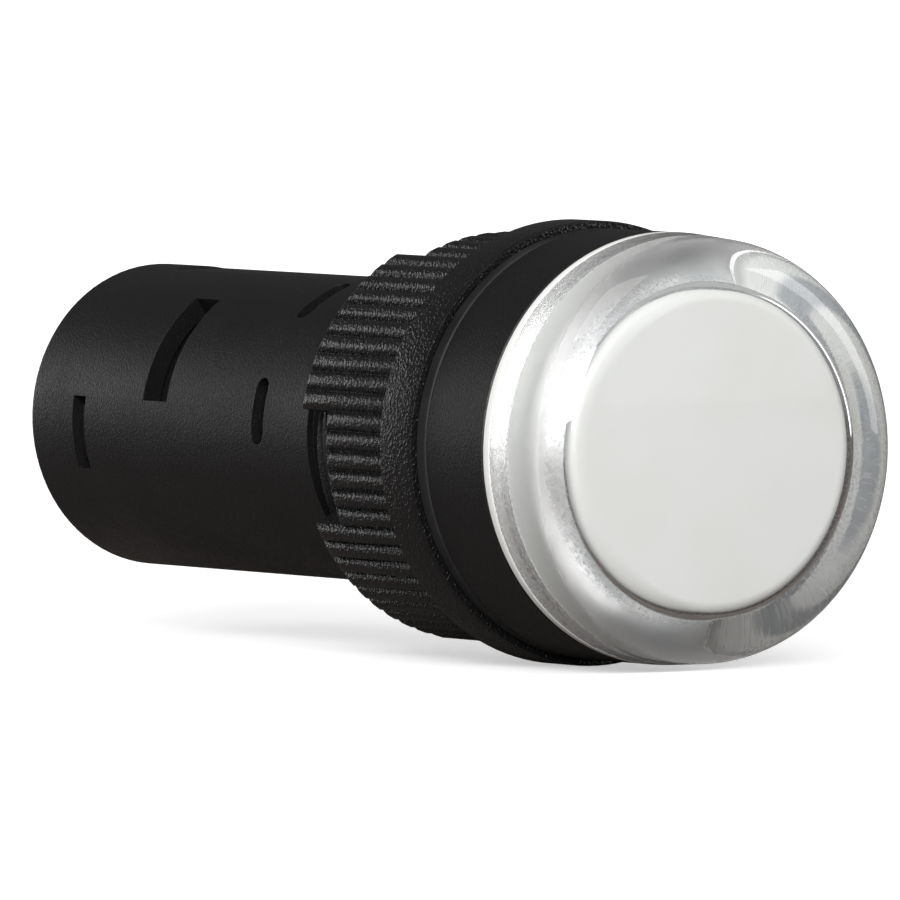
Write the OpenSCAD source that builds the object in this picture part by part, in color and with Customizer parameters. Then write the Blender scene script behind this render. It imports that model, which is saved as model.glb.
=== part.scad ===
// Panel pilot light for a 22 mm hole: LED lamp head, threaded barrel, lock nut
// and two rear screw terminals.
// Millimetres. The lamp axis is Y with the lens towards -Y and +Z up.
// The origin is the centre of the bezel's rear face, which is the panel's front face.

/* [Head] */
// Outer diameter of the bezel
bezel_d = 29; // [28:0.1:31]
// Length of the bezel in front of the panel
bezel_len = 7.1; // [6.6:0.1:9]
// Wall of the bezel around the diffuser's spigot
bezel_wall = 1.45; // [1.3:0.05:1.6]
// Thickness of the floor behind the bezel cavity
bezel_floor = 2.2; // [1.6:0.1:2.4]
// Chamfer on the bezel's outer edges
bezel_edge = 0.25; // [0.1:0.05:0.5]

/* [Lens] */
// How far the lens stands out in front of the bezel
lens_reach = 8; // [7:0.1:11]
// Radius of the lens's rounded front rim
lens_rim_r = 3.4; // [2:0.1:4]
// How much the lens narrows from the bezel to the front rim, on the radius
lens_draft = 0.25; // [0:0.05:0.5]
// Wall of the lens beside the diffuser
lens_side_wall = 3.4; // [3.2:0.05:3.6]
// Thickness of the lens's flat front
lens_front_wall = 2.9; // [1.8:0.1:3.2]
// Height of the snap bead round the diffuser's spigot
snap_bead = 0.2; // [0.1:0.05:0.3]
// Thickness of the diffuser's flange, clamped between the lens and the bezel
seat_flange_t = 0.7; // [0.5:0.05:0.9]
// Wall of the diffuser's spigot
spigot_wall = 1.2; // [1:0.1:1.5]
// Wall of the diffuser cup
diffuser_wall = 0.9; // [0.6:0.1:1.1]
// Radius of the diffuser's front edge
diffuser_edge_r = 1; // [0.5:0.1:1.2]

/* [Barrel] */
// Outer diameter of the barrel behind the thread
barrel_d = 20.9; // [20.4:0.1:21.2]
// Length of the barrel behind the panel's front face
barrel_len = 56.6; // [55:0.1:70]
// Wall of the barrel
barrel_wall = 1.4; // [1.2:0.1:1.6]
// Radius of the barrel's rear outer edge
barrel_edge_r = 0.7; // [0.3:0.1:1]
// How far the thread's pitch surface stands over the barrel, on the radius
thread_step = 0.23; // [0.15:0.01:0.3]
// End of the threaded stretch behind the panel's front face
thread_end = 19.3; // [18:0.1:22]
// Length of the relief groove behind the thread
relief_len = 1.6; // [1:0.1:2.5]
// Depth of the relief groove under the barrel's surface
relief_depth = 0.5; // [0.3:0.05:0.6]
// Depth of the flat along the top that takes the marking
flat_depth = 0.2; // [0.1:0.05:0.3]
// How far the marking flat stops short of the barrel's rear end
flat_inset = 5.6; // [4:0.1:8]

/* [Openings in the barrel] */
// Middle of the cooling vents behind the panel's front face
vent_y = 27.2; // [25:0.1:30]
// Width of a cooling vent
vent_w = 1.5; // [1:0.1:2]
// Angle that a vent spans round the barrel
vent_span = 25.5; // [16:0.5:30]
// Angle of the lower vent above the lamp's side
vent_low_angle = 8.2; // [4:0.1:10]
// Angle of the upper vent above the lamp's side
vent_high_angle = 60.6; // [56:0.1:64]
// Distance from the latch window's front edge to the barrel's rear end
window_inset = 17.7; // [17.2:0.1:18.5]
// Length of the latch window along the barrel
window_len = 3.1; // [2.6:0.1:3.4]
// Angle of the latch window's lower edge above the lamp's side
window_angle = 9.3; // [6:0.1:12]
// Angle that the latch window spans
window_span = 46.2; // [36:0.2:50]
// Distance from the catch slot's front edge to the barrel's rear end
catch_inset = 7.3; // [7:0.1:7.6]
// Length of the catch slot along the barrel
catch_len = 1.6; // [1.4:0.1:2]
// Angle of the catch slot's middle above the lamp's side
catch_angle = -4.7; // [-8:0.1:-2]
// Angle that the catch slot spans
catch_span = 28; // [24:0.5:32]

/* [Gasket and lock nut] */
// Thickness of the panel gasket
gasket_t = 1.1; // [0.8:0.1:2]
// Outer diameter of the nut's plain collar
collar_d = 30; // [29.6:0.1:31]
// Length of the nut's plain collar
collar_len = 3.6; // [3:0.1:5]
// Chamfer on the collar's front edge
collar_edge = 0.35; // [0.1:0.05:0.6]
// Diameter over the nut's ribs
knurl_d = 27.9; // [27.6:0.1:28.2]
// Length of the ribbed stretch
knurl_len = 12.3; // [11.8:0.1:13]
// Number of ribs, divisible by four
rib_count = 64; // [56:4:68]
// Radius of one rib
rib_r = 0.68; // [0.64:0.02:0.76]
// Length of the rounding on the nut's rear edge, along the lamp
rim_round_len = 1.3; // [0.8:0.1:1.6]
// Depth of the rounding on the nut's rear edge, on the radius
rim_round_depth = 0.8; // [0.6:0.1:1]
// How deep the four spanner notches are cut into the nut's rear
notch_depth = 3.2; // [2:0.1:4]
// Ribs cut back by one notch
notch_ribs = 6; // [4:1:8]
// Angle of the first notch's middle above the lamp's side
notch_angle = -8; // [-20:0.5:20]

/* [LED board and driver] */
// Thickness of both circuit boards
board_t = 1.2; // [0.8:0.1:1.6]
// Gap between the LED board and the diffuser cup round it
led_board_gap = 0.3; // [0.2:0.05:0.6]
// Number of LEDs round the centre one
ring_leds = 5; // [3:1:5]
// Distance from the middle of an outer LED to the board's edge
led_inset = 3.2; // [2.8:0.1:3.6]
// Width of an LED package
led_w = 3.4; // [2.8:0.1:3.6]
// Height of an LED package
led_h = 1.2; // [0.8:0.1:1.6]
// Thickness of the carrier's flange
flange_t = 1.5; // [1.2:0.1:1.8]
// Thickness of the carrier's latch arms
arm_t = 0.9; // [0.7:0.1:1.1]
// Angle that a latch arm spans
arm_span = 16; // [12:0.5:20]
// How far the driver board lies below the lamp axis, to its middle
board_drop = 3; // [2.8:0.1:3.2]
// Diameter of the smoothing capacitor
smoothing_d = 6.3; // [5:0.1:6.5]
// Length of the smoothing capacitor
smoothing_len = 9; // [7:0.1:10]
// Length of the dropper capacitor
dropper_len = 12; // [10:0.1:13]
// Width of the dropper capacitor
dropper_w = 6.6; // [5:0.1:7]
// Height of the dropper capacitor
dropper_h = 7.6; // [6:0.1:8]
// Diameter of the resistors
resistor_d = 2.4; // [1.8:0.1:2.6]
// Length of a resistor's body
resistor_len = 6.4; // [5:0.1:7]
// Length of the bridge rectifier
rectifier_len = 4.7; // [4.2:0.1:5.2]
// Width of the bridge rectifier
rectifier_w = 3.8; // [3.4:0.1:4.2]
// Height of the bridge rectifier
rectifier_h = 2.4; // [2:0.1:2.8]

/* [Terminals] */
// Depth of the terminal chambers below the barrel's rear end
chamber_depth = 9.1; // [8.6:0.1:10]
// Thickness of the terminal block
block_t = 4.9; // [4.8:0.1:5.1]
// Thickness of the barrier between the terminals
barrier_t = 1.8; // [1.4:0.1:2]
// How far the barrier stops short of the barrel's rear end
barrier_inset = 1; // [0.5:0.1:3]
// Thickness of the brass terminal plates
plate_t = 1.2; // [1:0.1:1.4]
// Width of a clamp washer across the barrel
washer_w = 5.6; // [5.2:0.1:5.8]
// Height of a clamp washer
washer_h = 6.6; // [6:0.1:7]
// Thickness of a clamp washer
washer_t = 0.9; // [0.7:0.1:1]
// Diameter of a terminal screw's thread
screw_d = 3; // [2.8:0.1:3.2]
// Length of a terminal screw's thread below its head
screw_len = 6; // [5.6:0.1:6.2]
// Diameter of a terminal screw's head
head_d = 5.2; // [4.8:0.1:5.5]
// Height of a terminal screw's head
head_h = 1.9; // [1.6:0.1:2.2]

/* [Hidden] */
$fn = 64;

// Clearances
running_gap = 0.07;
seat_gap = 0.05;
loose_gap = 0.3;
face_gap = 0.02;
through = 1;

// Head
bezel_r = bezel_d / 2;
cavity_r = bezel_r - bezel_wall;
spigot_r = cavity_r - seat_gap;
lens_bore_r = bezel_r - lens_side_wall;
lens_front_y = -(bezel_len + lens_reach);
lens_inside_y = lens_front_y + lens_front_wall;
seat_y = -bezel_len - seat_flange_t;
bead_y = -bezel_len + (bezel_len - bezel_floor) * 0.35;
flange_front_y = -bezel_floor - flange_t;
led_face_y = flange_front_y - board_t;
diffuser_r = lens_bore_r - 0.1;
led_board_r = diffuser_r - diffuser_wall - led_board_gap;
led_ring_r = led_board_r - led_inset;

// Barrel
barrel_r = barrel_d / 2;
bore_r = barrel_r - barrel_wall;
thread_r = barrel_r + thread_step;
relief_end = thread_end + relief_len;
window_y = barrel_len - window_inset;
catch_y = barrel_len - catch_inset;

// Nut
nut_bore_r = thread_r + running_gap;
nut_front_y = gasket_t + face_gap;
collar_end_y = nut_front_y + collar_len;
nut_rear_y = collar_end_y + knurl_len;
rib_centre_r = knurl_d / 2 - rib_r;
rib_half_turn = asin(rib_centre_r * sin(180 / rib_count) / rib_r);
crest_r = knurl_d / 2;
rib_pitch = 360 / rib_count;
notch_span = notch_ribs * rib_pitch;
notch_floor_y = nut_rear_y - notch_depth;
nut_lead_in = 0.5;

// Driver
carrier_r = bore_r - loose_gap;
ear_half_h = board_t / 2 + 0.9;
ear_x = sqrt(pow(carrier_r, 2) - pow(board_drop + ear_half_h, 2));
ear_w = 1.9;
ear_len = 6.2;
board_half_w = ear_x - 0.55;
board_top_z = board_t / 2 - board_drop;
board_front_y = 0.3;
lead_r = 0.4;
wire_r = 0.3;
lead_stub = 1.1;
leg_reach = 0.8;
part_gap = 1.2;
row_gap = 1.5;
centre_gap = 1.7;

// Terminals
block_r = bore_r - seat_gap;
block_rear_y = barrel_len - chamber_depth;
block_front_y = block_rear_y - block_t;
board_seat = 1.6;
terminal_x = barrier_t / 2 + loose_gap + 0.35 + washer_w / 2;
plate_rear_y = block_rear_y + plate_t;
washer_front_y = plate_rear_y + seat_gap;
washer_rear_y = washer_front_y + washer_t;
head_front_y = washer_rear_y + face_gap;
core_thread_r = screw_d / 2 - 0.14;
tail_w = 3;
tail_t = 0.7;
tail_front_y = block_front_y - 3;
series_y = tail_front_y - resistor_len - 0.2;
rear_parts_y = series_y - lead_stub - wire_r - part_gap - rectifier_len;
dropper_y = rear_parts_y - dropper_len - row_gap;
catch_t = 0.8;
catch_reach = barrel_wall / 2;

// Points of a circular arc about [x, y], from angle a to angle b
function arc(x, y, r, a, b, steps = 8) =
    [for (i = [0:steps]) [x + r * cos(a + (b - a) * i / steps), y + r * sin(a + (b - a) * i / steps)]];

// Turns an outline of [radius, distance along the lamp] about the lamp axis
module turned(angle = 360) {
    rotate([-90, 0, 0])
        rotate_extrude(angle = angle, $fn = 96)
            children();
}

// Straight round rod along the lamp axis
module rod(r, y0, y1) {
    translate([0, y0, 0])
        rotate([-90, 0, 0])
            cylinder(r = r, h = y1 - y0);
}

// Turned sector on the left side, from angle a above the side, spanning span degrees
module side_sector(a, span) {
    rotate([0, a, 0])
        rotate([-90, 0, 0])
            rotate([0, 0, 180])
                rotate_extrude(angle = span, $fn = 96)
                    children();
}

// Sector of a tube on the left side
module side_block(r0, r1, y0, y1, a, span) {
    side_sector(a, span)
        translate([r0, y0])
            square([r1 - r0, y1 - y0]);
}

// The same on the left and on the right
module both_sides() {
    children();
    mirror([1, 0, 0])
        children();
}

// Box from one corner to the opposite one
module box(low, high) {
    translate(low)
        cube(high - low);
}

// ---- Housing ----

// Round-ended vent through the barrel's left wall
module vent(angle) {
    end_r = vent_w / 2;
    reach = barrel_r * sin(vent_span / 2) - end_r;
    rotate([0, angle, 0])
        translate([-barrel_r - through, vent_y, 0])
            rotate([0, 90, 0])
                linear_extrude(barrel_wall + 2 * through)
                    polygon(concat(arc(reach, 0, end_r, -90, 90), arc(-reach, 0, end_r, 90, 270)));
}

// Every opening in the barrel's wall on the left side
module side_openings() {
    vent(vent_low_angle);
    vent(vent_high_angle);
    side_block(bore_r - through, barrel_r + through, window_y, window_y + window_len,
               window_angle, window_span);
    side_block(bore_r - through, barrel_r + through, catch_y, catch_y + catch_len,
               catch_angle - catch_span / 2, catch_span);
}

module housing_outline() {
    groove = snap_bead + seat_gap;
    polygon(concat(
        [[cavity_r, -bezel_len],
         [bezel_r - bezel_edge, -bezel_len],
         [bezel_r, -bezel_len + bezel_edge],
         [bezel_r, -bezel_edge],
         [bezel_r - bezel_edge, 0],
         [thread_r, 0],
         [thread_r, thread_end],
         [barrel_r - relief_depth, thread_end],
         [barrel_r - relief_depth, relief_end],
         [barrel_r, relief_end]],
        arc(barrel_r - barrel_edge_r, barrel_len - barrel_edge_r, barrel_edge_r, 0, 90),
        [[bore_r, barrel_len],
         [bore_r, -bezel_floor],
         [cavity_r, -bezel_floor],
         [cavity_r, bead_y + 2 * groove],
         [cavity_r + groove, bead_y + groove],
         [cavity_r + groove, bead_y - groove],
         [cavity_r, bead_y - 2 * groove]]));
}

module housing() {
    color("#26262a")
        difference() {
            turned()
                housing_outline();
            both_sides()
                side_openings();
            box([-barrel_r, relief_end, barrel_r - flat_depth],
                [barrel_r, barrel_len - flat_inset, barrel_r + through]);
        }
}

// ---- Lens and diffuser ----

module lens() {
    rim_x = bezel_r - lens_draft - lens_rim_r;
    color("gainsboro", 0.4)
        turned()
            polygon(concat(
                [[0, lens_inside_y],
                 [0, lens_front_y]],
                arc(rim_x, lens_front_y + lens_rim_r, lens_rim_r, -90, 0, 10),
                [[bezel_r, seat_y - face_gap],
                 [lens_bore_r, seat_y - face_gap],
                 [lens_bore_r, lens_inside_y]]));
}

module diffuser() {
    front_y = lens_inside_y + 0.15;
    color("white")
        turned()
            polygon(concat(
                [[0, front_y + diffuser_wall],
                 [0, front_y]],
                arc(diffuser_r - diffuser_edge_r, front_y + diffuser_edge_r, diffuser_edge_r, -90, 0, 5),
                [[diffuser_r, seat_y],
                 [bezel_r, seat_y],
                 [bezel_r, -bezel_len],
                 [spigot_r, -bezel_len],
                 [spigot_r, bead_y - snap_bead],
                 [spigot_r + snap_bead, bead_y],
                 [spigot_r, bead_y + snap_bead],
                 [spigot_r, flange_front_y],
                 [spigot_r - spigot_wall, flange_front_y],
                 [spigot_r - spigot_wall, seat_y + diffuser_wall],
                 [diffuser_r - diffuser_wall, seat_y + diffuser_wall],
                 [diffuser_r - diffuser_wall, front_y + diffuser_wall]]));
}

// ---- Gasket and lock nut ----

module panel_gasket() {
    lip = 0.15;
    color("#1c1c1e")
        turned()
            polygon([[thread_r + loose_gap, 0],
                     [bezel_r - lip, 0],
                     [bezel_r, lip],
                     [bezel_r, gasket_t - lip],
                     [bezel_r - lip, gasket_t],
                     [thread_r + loose_gap, gasket_t]]);
}

// Cross-section of the ribbed stretch: round ribs with narrow valleys between them
module ribbed_section(first_rib) {
    polygon([for (i = [0:rib_count - 1])
        let (angle = first_rib + i * rib_pitch, x = rib_centre_r * cos(angle), y = rib_centre_r * sin(angle))
        each arc(x, y, rib_r, angle - rib_half_turn, angle + rib_half_turn, 6)]);
}

// Rounding from the ribs' crests down to the rear face at end_y
function rim_rounding(end_y) =
    [for (turn = [0:30:90])
        [crest_r - rim_round_depth * (1 - cos(turn)), end_y - rim_round_len * (1 - sin(turn))]];

// Outline of the nut without its ribs' valleys
module nut_outline() {
    polygon(concat(
        [[nut_bore_r, nut_front_y + nut_lead_in],
         [nut_bore_r + nut_lead_in, nut_front_y],
         [collar_d / 2 - collar_edge, nut_front_y],
         [collar_d / 2, nut_front_y + collar_edge],
         [collar_d / 2, collar_end_y],
         [crest_r, collar_end_y]],
        rim_rounding(nut_rear_y),
        [[nut_bore_r + nut_lead_in, nut_rear_y],
         [nut_bore_r, nut_rear_y - nut_lead_in]]));
}

// What one spanner notch takes away, down to a rounded edge of its own
module notch_outline() {
    polygon(concat(
        [[nut_bore_r - through, notch_floor_y]],
        [for (corner = [3:-1:0]) rim_rounding(notch_floor_y)[corner]],
        [[crest_r + through, notch_floor_y - rim_round_len],
         [crest_r + through, nut_rear_y + through],
         [nut_bore_r - through, nut_rear_y + through]]));
}

module lock_nut() {
    notch_start = notch_angle - notch_span / 2;
    color("#2a2a2e")
        intersection() {
            difference() {
                turned()
                    nut_outline();
                for (quarter = [0:3])
                    side_sector(notch_start + quarter * 90, notch_span)
                        notch_outline();
            }
            union() {
                rod(collar_d / 2 + through, nut_front_y - through, collar_end_y);
                translate([0, collar_end_y - through, 0])
                    rotate([-90, 0, 0])
                        linear_extrude(knurl_len + 2 * through)
                            ribbed_section(180 + notch_start + rib_pitch / 2);
            }
        }
}

// ---- LED board, its carrier and the driver ----

// Latch arm along the barrel's left wall, hooked behind the window's front edge
module latch_arm() {
    start = window_angle + 0.7;
    hook_top = barrel_r - 0.6;
    side_block(carrier_r - arm_t, carrier_r, -bezel_floor - seat_gap, window_y + 1.5, start, arm_span);
    side_sector(start, arm_span)
        polygon([[carrier_r - arm_t / 2, window_y + seat_gap],
                 [hook_top, window_y + seat_gap],
                 [hook_top, window_y + 0.8],
                 [carrier_r - arm_t / 2, window_y + 1.5]]);
}

// Grooved ear that holds one front corner of the driver board
module board_ear() {
    difference() {
        box([-ear_x, -bezel_floor - seat_gap, -board_drop - ear_half_h],
            [-ear_x + ear_w, ear_len - bezel_floor, -board_drop + ear_half_h]);
        box([-board_half_w - seat_gap, board_front_y - seat_gap, -board_drop - board_t / 2 - seat_gap],
            [0, ear_len, -board_drop + board_t / 2 + seat_gap]);
    }
}

module board_carrier() {
    opening_r = 6;
    color("#3a3a3c") {
        turned()
            translate([opening_r, flange_front_y])
                square([cavity_r - seat_gap - opening_r, flange_t]);
        both_sides() {
            latch_arm();
            board_ear();
        }
    }
}

module led_board() {
    color("#e8e8e0")
        rod(led_board_r, led_face_y, flange_front_y);
}

// LED package: square body with a round phosphor window standing on its front
module led_package() {
    window_h = 0.15;
    box([-led_w / 2, led_face_y - led_h, -led_w / 2], [led_w / 2, led_face_y, led_w / 2]);
    rod(led_w * 0.38, led_face_y - led_h - window_h, led_face_y - led_h + window_h, $fn = 32);
}

// LED 1 is in the centre and the others stand round it
module led(index) {
    color("lightyellow")
        if (index == 1)
            led_package();
        else
            rotate([0, 90 + (index - 2) * 360 / ring_leds, 0])
                translate([-led_ring_r, 0, 0])
                    led_package();
}

// Straight lead between the LED board and the driver board
module led_lead(side) {
    color("#c9a227")
        translate([side * 2, 0, board_top_z + lead_r + seat_gap])
            rod(lead_r, flange_front_y, board_front_y + 3, $fn = 24);
}

module driver_board() {
    color("#3f7d4a")
        box([-board_half_w, board_front_y, -board_drop - board_t / 2],
            [board_half_w, block_front_y + board_seat - seat_gap, board_top_z]);
}

module dropper_capacitor() {
    edge = 0.6;
    half = dropper_w / 2;
    color("#8c2f1b")
        translate([0, dropper_y, board_top_z])
            rotate([-90, 0, 0])
                linear_extrude(dropper_len)
                    polygon([[-half, 0], [half, 0], [half, edge - dropper_h], [half - edge, -dropper_h],
                             [edge - half, -dropper_h], [-half, edge - dropper_h]]);
}

// Axial resistor lying on the board, with its bent leads
module resistor(x, y) {
    body_r = resistor_d / 2;
    bulge = 0.15;
    cap_len = 1.2;
    translate([x, y, board_top_z + body_r + seat_gap]) {
        turned($fn = 32)
            polygon([[0, 0],
                     [body_r - bulge, 0],
                     [body_r, bulge],
                     [body_r, cap_len],
                     [body_r - bulge, cap_len + bulge],
                     [body_r - bulge, resistor_len - cap_len - bulge],
                     [body_r, resistor_len - cap_len],
                     [body_r, resistor_len - bulge],
                     [body_r - bulge, resistor_len],
                     [0, resistor_len]]);
        for (end = [-lead_stub, resistor_len + lead_stub]) {
            rod(wire_r, min(end, resistor_len - through), max(end, through), $fn = 16);
            translate([0, end, -body_r - seat_gap])
                cylinder(r = wire_r, h = body_r + seat_gap, $fn = 16);
            translate([0, end, 0])
                sphere(r = wire_r, $fn = 16);
        }
    }
}

module bleed_resistor() {
    color("#b9c7c9")
        resistor(dropper_w / 2 + resistor_d / 2 + loose_gap, dropper_y + row_gap);
}

module series_resistor() {
    color("#c8b48a")
        resistor(-resistor_d / 2 - part_gap, series_y);
}

module bridge_rectifier() {
    leg_t = 0.25;
    leg_w = 0.8;
    leg_inset = 0.7;
    overlap = 0.2;
    color("#202024") {
        translate([-centre_gap - rectifier_w, rear_parts_y, board_top_z + leg_t])
            cube([rectifier_w, rectifier_len, rectifier_h]);
        for (x = [-centre_gap - rectifier_w - leg_reach, -centre_gap - overlap])
            for (y = [leg_inset, rectifier_len - leg_inset - leg_w])
                translate([x, rear_parts_y + y, board_top_z])
                    cube([leg_reach + overlap, leg_w, 2 * leg_t]);
    }
}

module smoothing_capacitor() {
    r = smoothing_d / 2;
    crimp = 0.25;
    color("#23314f")
        translate([r + loose_gap, rear_parts_y, board_top_z + r + seat_gap])
            turned($fn = 48)
                polygon([[0, 0],
                         [r - crimp, 0],
                         [r, crimp],
                         [r, 1.2],
                         [r - crimp, 1.5],
                         [r - crimp, 1.8],
                         [r, 2.1],
                         [r, smoothing_len - crimp],
                         [r - crimp, smoothing_len],
                         [0, smoothing_len]]);
}

// ---- Terminals ----

// Spring catch on the terminal block, hooked into the catch slot
module block_catch() {
    start = catch_angle - catch_span / 2 + 3;
    span = catch_span - 6;
    outer_r = block_r - seat_gap;
    front_y = catch_y + seat_gap;
    rear_y = catch_y + catch_len - seat_gap;
    side_block(outer_r - catch_t, outer_r, block_rear_y - catch_t, rear_y, start, span);
    side_sector(start, span)
        polygon([[outer_r - catch_t / 2, front_y],
                 [outer_r, front_y],
                 [outer_r + catch_reach, front_y + catch_len / 2],
                 [outer_r + catch_reach, rear_y],
                 [outer_r - catch_t / 2, rear_y]]);
}

// Space for one terminal's screw end and plate tail, on the left side
module terminal_space() {
    translate([-terminal_x, 0, 0])
        rod(screw_d / 2 + loose_gap, block_front_y + 0.9, block_rear_y + through, $fn = 32);
    box([-terminal_x - tail_w / 2 - seat_gap, block_front_y - through, board_top_z - seat_gap],
        [-terminal_x + tail_w / 2 + seat_gap, block_rear_y + through, board_top_z + tail_t + seat_gap]);
}

module terminal_block() {
    color("#1f1f22")
        difference() {
            union() {
                rod(block_r, block_front_y, block_rear_y);
                intersection() {
                    rod(block_r - seat_gap, block_rear_y - through, barrel_len - barrier_inset);
                    box([-barrier_t / 2, block_rear_y - through, -barrel_r],
                        [barrier_t / 2, barrel_len, barrel_r]);
                }
                both_sides()
                    block_catch();
            }
            both_sides()
                terminal_space();
            box([-board_half_w - seat_gap, block_front_y - through, -board_drop - board_t / 2 - seat_gap],
                [board_half_w + seat_gap, block_front_y + board_seat, board_top_z + seat_gap]);
        }
}

// Brass plate with the screw's hole, and its tail down to the driver board
module terminal_plate() {
    half_h = washer_h / 2 + 0.2;
    half_w = washer_w / 2;
    color("#c8a951")
        difference() {
            union() {
                box([-half_w, block_rear_y, -half_h], [half_w, plate_rear_y, half_h]);
                box([-tail_w / 2, tail_front_y, board_top_z],
                    [tail_w / 2, plate_rear_y, board_top_z + tail_t]);
            }
            rod(core_thread_r + running_gap, block_rear_y - through, plate_rear_y + through, $fn = 32);
        }
}

module clamp_washer() {
    lip = 0.35;
    color("#d9d9d2")
        difference() {
            box([-washer_w / 2, washer_front_y, -washer_h / 2], [washer_w / 2, washer_rear_y, washer_h / 2]);
            rod(core_thread_r + running_gap, washer_front_y - through, washer_rear_y + through, $fn = 32);
            for (side = [-1, 1])
                translate([0, washer_rear_y, side * washer_h / 2])
                    rotate([45, 0, 0])
                        cube([washer_w + through, lip, lip], center = true);
        }
}

module terminal_screw() {
    slot_w = 0.9;
    slot_depth = head_h * 0.55;
    head_r = head_d / 2;
    dome = 0.5;
    tip_y = washer_rear_y - screw_len;
    head_rear_y = head_front_y + head_h;
    color("#d8d8d4")
        difference() {
            turned($fn = 48)
                polygon([[0, tip_y],
                         [core_thread_r - dome, tip_y],
                         [core_thread_r, tip_y + dome],
                         [core_thread_r, head_front_y],
                         [head_r, head_front_y],
                         [head_r, head_rear_y - dome],
                         [head_r - dome, head_rear_y],
                         [0, head_rear_y]]);
            for (turn = [0, 90])
                rotate([0, turn, 0])
                    box([-head_r * (turn == 0 ? 1.2 : 0.55), head_rear_y - slot_depth, -slot_w / 2],
                        [head_r * (turn == 0 ? 1.2 : 0.55), head_rear_y + through, slot_w / 2]);
        }
}

// Puts a terminal's piece on the left (-1) or right (1) of the barrier
module terminal(side) {
    translate([side * terminal_x, 0, 0])
        children();
}

housing();
lens();
diffuser();
panel_gasket();
lock_nut();
board_carrier();
led_board();
led(1);  // led_1
led(2);  // led_2
led(3);  // led_3
led(4);  // led_4
led(5);  // led_5
led(6);  // led_6
led_lead(-1);  // led_lead_left
led_lead(1);  // led_lead_right
driver_board();
dropper_capacitor();
bleed_resistor();
series_resistor();
bridge_rectifier();
smoothing_capacitor();
terminal_block();
terminal(-1) terminal_plate();  // terminal_plate_left
terminal(1) terminal_plate();  // terminal_plate_right
terminal(-1) clamp_washer();  // clamp_washer_left
terminal(1) clamp_washer();  // clamp_washer_right
terminal(-1) terminal_screw();  // terminal_screw_left
terminal(1) terminal_screw();  // terminal_screw_right
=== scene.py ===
"""Looks of a panel pilot light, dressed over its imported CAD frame.

Everything is in metres and in the part's own frame: the lamp axis is Y with the lens
towards -Y, +Z is up, and the panel's front face is the plane Y = 0.
"""

import logging
import math
from dataclasses import dataclass, field
from enum import Enum
from typing import Callable, Iterable, Optional, Sequence, Union

import bmesh
import bpy
from bmesh.types import BMesh
from bpy.types import Material, Node, NodeSocket as Socket, NodeTree, Object
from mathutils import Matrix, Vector

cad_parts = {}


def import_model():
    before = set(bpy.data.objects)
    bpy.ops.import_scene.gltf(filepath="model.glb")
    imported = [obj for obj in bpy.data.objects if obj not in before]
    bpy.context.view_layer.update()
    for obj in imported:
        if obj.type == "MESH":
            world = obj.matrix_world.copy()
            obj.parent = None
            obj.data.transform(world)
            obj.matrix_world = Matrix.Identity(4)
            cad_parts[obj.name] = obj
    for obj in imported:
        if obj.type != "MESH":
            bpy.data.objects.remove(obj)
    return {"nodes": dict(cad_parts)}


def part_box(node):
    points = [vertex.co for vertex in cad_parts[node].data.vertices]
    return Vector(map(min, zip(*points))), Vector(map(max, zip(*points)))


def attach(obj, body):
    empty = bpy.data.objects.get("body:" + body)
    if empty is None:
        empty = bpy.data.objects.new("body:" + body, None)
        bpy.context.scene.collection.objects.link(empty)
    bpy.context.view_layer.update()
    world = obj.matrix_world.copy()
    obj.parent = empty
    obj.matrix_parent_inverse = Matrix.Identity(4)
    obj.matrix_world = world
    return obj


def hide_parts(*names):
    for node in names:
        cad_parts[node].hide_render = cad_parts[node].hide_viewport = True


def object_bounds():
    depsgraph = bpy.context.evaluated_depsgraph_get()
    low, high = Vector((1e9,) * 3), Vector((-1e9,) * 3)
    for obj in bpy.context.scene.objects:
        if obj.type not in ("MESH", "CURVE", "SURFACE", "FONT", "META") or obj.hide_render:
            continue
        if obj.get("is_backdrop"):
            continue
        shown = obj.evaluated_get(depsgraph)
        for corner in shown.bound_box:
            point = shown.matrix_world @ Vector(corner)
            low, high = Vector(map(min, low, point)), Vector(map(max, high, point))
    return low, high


Colour = tuple[float, float, float]
Span = tuple[float, float]
Feed = Union[Socket, float, Sequence[float]]
Sockets = dict[Union[int, str], Feed]
Outputs = bpy.types.bpy_prop_collection

LOG = logging.getLogger("pilot_light")
MM = 0.001
AXIS = Vector((0.0, 1.0, 0.0))

# Points nearer than this are joined, on a mesh and on a thread's ridge.
WELD = 2e-6
RIDGE_WELD = 1e-7
# Points nearer than this to a cut lie on it.
FLUSH = 1e-8
# A point this near to a size counts as being at it.
NEAR = 0.02 * MM
# Faces round a turned piece, and the angle from which an edge stays crisp.
ROUND = 192
CREASE = math.radians(28.0)
# Pitch of both threads, and where the barrel's thread starts behind the panel's front.
THREAD_PITCH = 1.5 * MM
THREAD_START = 0.05 * MM


class Body(Enum):
    """Bodies of the frame that the new pieces ride on."""

    LAMP = "lamp_body"
    NUT = "nut"


class Slot(Enum):
    """Material slots of the record. Nothing in this script gives them to the pieces."""

    HOUSING = "housing_plastic"
    NUT = "nut_plastic"
    LENS = "lens_clear"
    DIFFUSER = "diffuser_white"
    GASKET = "gasket_rubber"


class Side(Enum):
    """Which way a thread's ridge points from the surface that carries it."""

    OUTWARD = 1
    INWARD = -1


class Ring(Enum):
    """Colours of the rings round a resistor."""

    BLACK = (0.01, 0.01, 0.01)
    BROWN = (0.20, 0.10, 0.03)
    ORANGE = (0.50, 0.25, 0.02)
    GOLD = (0.60, 0.42, 0.05)


# --- Shader graphs ---


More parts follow.
